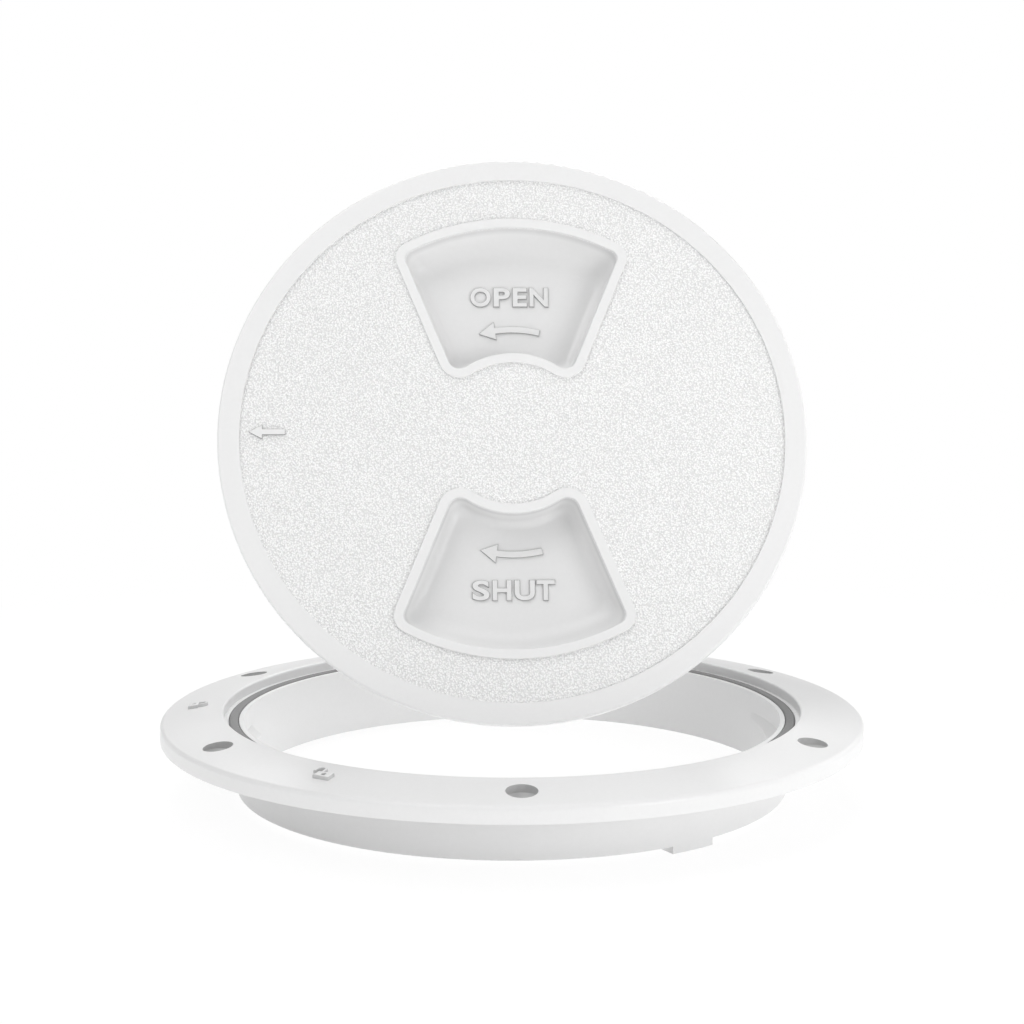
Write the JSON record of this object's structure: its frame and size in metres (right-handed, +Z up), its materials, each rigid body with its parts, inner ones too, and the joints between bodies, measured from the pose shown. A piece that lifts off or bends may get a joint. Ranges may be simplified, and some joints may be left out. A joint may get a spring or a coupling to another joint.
{
  "type": "deck inspection plate",
  "caption": "Round screw-down deck inspection plate: a flanged ring with a seal and a twist-off lid with two finger pockets, shown with the lid lifted off.",
  "frame": {"origin": "centre of the ring in the plane of the deck, which is the underside of the flange and the centre of the screw circle", "axes": "+Z up out of the deck along the ring's axis; -Y is the side the lid's face leans towards; the closed mark is at -X"},
  "size_m": [0.196, 0.196, 0.1754],
  "materials": {
    "white_plastic": "smooth white moulded plastic with a satin gloss",
    "grey_rubber": "matt dark grey sealing ring",
    "lid_plastic": "white moulded plastic, fine stipple on the panel and smooth on the rim and pockets"
  },
  "bodies": {
    "ring": {"mounting_ring": "white_plastic", "seal": "grey_rubber"},
    "lid": {"lid": "lid_plastic"}
  },
  "joints": [
    {"name": "lid_twist", "type": "hinge", "parent": "ring", "child": "lid", "pos_m": [0, -0.0116, 0.0843], "axis": [0, -0.9272, 0.3746], "range_deg": [0, 57]}
  ]
}
